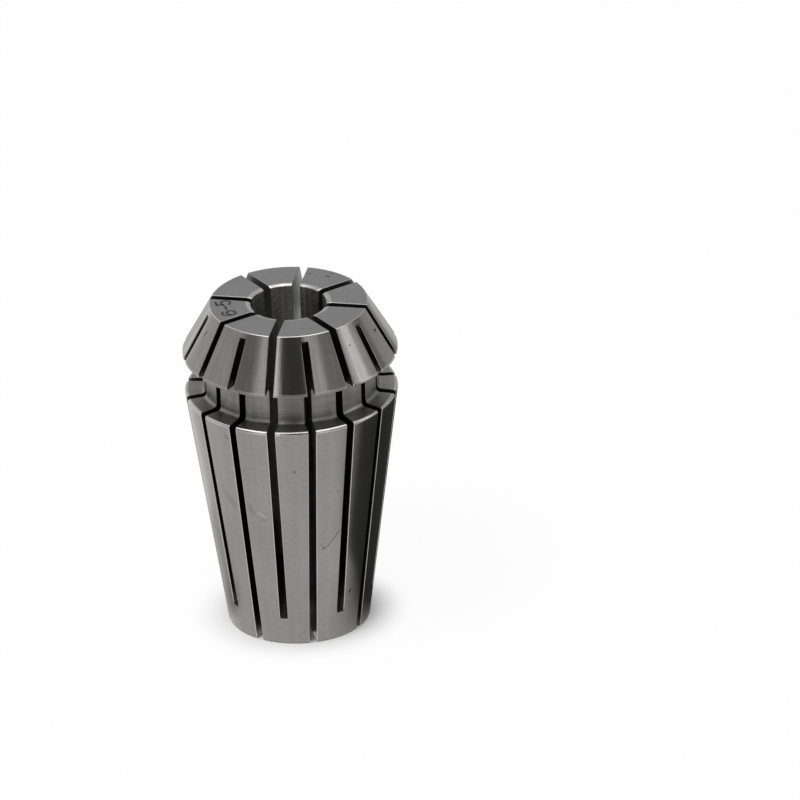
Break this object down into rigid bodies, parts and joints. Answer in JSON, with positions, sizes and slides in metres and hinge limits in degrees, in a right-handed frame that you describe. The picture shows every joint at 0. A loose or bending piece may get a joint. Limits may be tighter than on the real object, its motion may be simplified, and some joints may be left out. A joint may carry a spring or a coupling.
{
  "type": "er collet",
  "caption": "Slotted spring collet with a long seating taper, a ring groove and a conical nose, which grips a round shank in a tool holder.",
  "frame": {"origin": "centre of the back face, at the small end of the seating taper", "axes": "+Z along the collet's axis, from the back face to the nose; +X runs through the middle of a nose slot"},
  "size_m": [0.017, 0.017, 0.0275],
  "materials": {
    "ground_spring_steel": "hardened and ground, satin"
  },
  "bodies": {
    "root": {"collet": "ground_spring_steel"}
  },
  "joints": []
}
